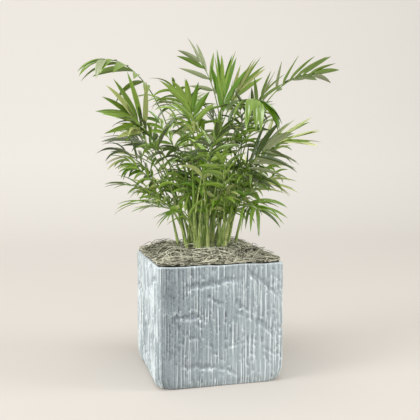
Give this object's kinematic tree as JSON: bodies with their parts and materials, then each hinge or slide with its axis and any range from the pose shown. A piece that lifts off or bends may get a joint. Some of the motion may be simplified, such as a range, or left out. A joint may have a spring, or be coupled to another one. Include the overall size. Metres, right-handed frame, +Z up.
{
  "type": "potted parlour palm",
  "caption": "Young parlour palm, a clump of slim canes with arching feathered fronds, standing in moss in a square ribbed stone-effect planter.",
  "frame": {"origin": "centre of the pot's flat underside", "axes": "+Z up along the plant, -Y out of the pot's front face, +X to the right seen from the front"},
  "size_m": [0.3992, 0.3406, 0.4971],
  "materials": {
    "pot_stone": "matt, ribbed, pale blue-grey",
    "potting_soil": "matt, crumbly",
    "moss": "matt, curled dry strands",
    "cane_green": "satin, pale green",
    "frond_green": "satin, green"
  },
  "bodies": {
    "root": {"cane_01": "cane_green", "cane_02": "cane_green", "cane_03": "cane_green", "cane_04": "cane_green", "cane_05": "cane_green", "cane_06": "cane_green", "cane_07": "cane_green", "cane_08": "cane_green", "cane_09": "cane_green", "cane_10": "cane_green", "cane_11": "cane_green", "cane_12": "cane_green", "cane_13": "cane_green", "cane_14": "cane_green", "frond_front_left_low": "frond_green", "frond_inner_01": "frond_green", "frond_inner_02": "frond_green", "frond_inner_03": "frond_green", "frond_inner_04": "frond_green", "frond_inner_05": "frond_green", "frond_inner_06": "frond_green", "frond_inner_07": "frond_green", "frond_inner_08": "frond_green", "frond_inner_09": "frond_green", "frond_inner_10": "frond_green", "frond_inner_11": "frond_green", "frond_inner_12": "frond_green", "frond_inner_13": "frond_green", "frond_inner_14": "frond_green", "frond_inner_15": "frond_green", "frond_inner_16": "frond_green", "frond_inner_17": "frond_green", "frond_inner_18": "frond_green", "frond_inner_19": "frond_green", "frond_inner_20": "frond_green", "frond_inner_21": "frond_green", "frond_inner_22": "frond_green", "frond_inner_23": "frond_green", "frond_inner_24": "frond_green", "frond_inner_25": "frond_green", "frond_inner_26": "frond_green", "frond_left_fan": "frond_green", "frond_left_high": "frond_green", "frond_left_low": "frond_green", "frond_left_lowest": "frond_green", "frond_left_middle": "frond_green", "frond_left_pale": "frond_green", "frond_middle_left_fan": "frond_green", "frond_right_arching": "frond_green", "frond_right_dark": "frond_green", "frond_right_high": "frond_green", "frond_right_low": "frond_green", "frond_right_middle": "frond_green", "frond_right_pale": "frond_green", "frond_top_left": "frond_green", "frond_top_middle": "frond_green", "frond_top_right_fan": "frond_green", "moss": "moss", "pot": "pot_stone", "soil": "potting_soil"}
  },
  "joints": []
}
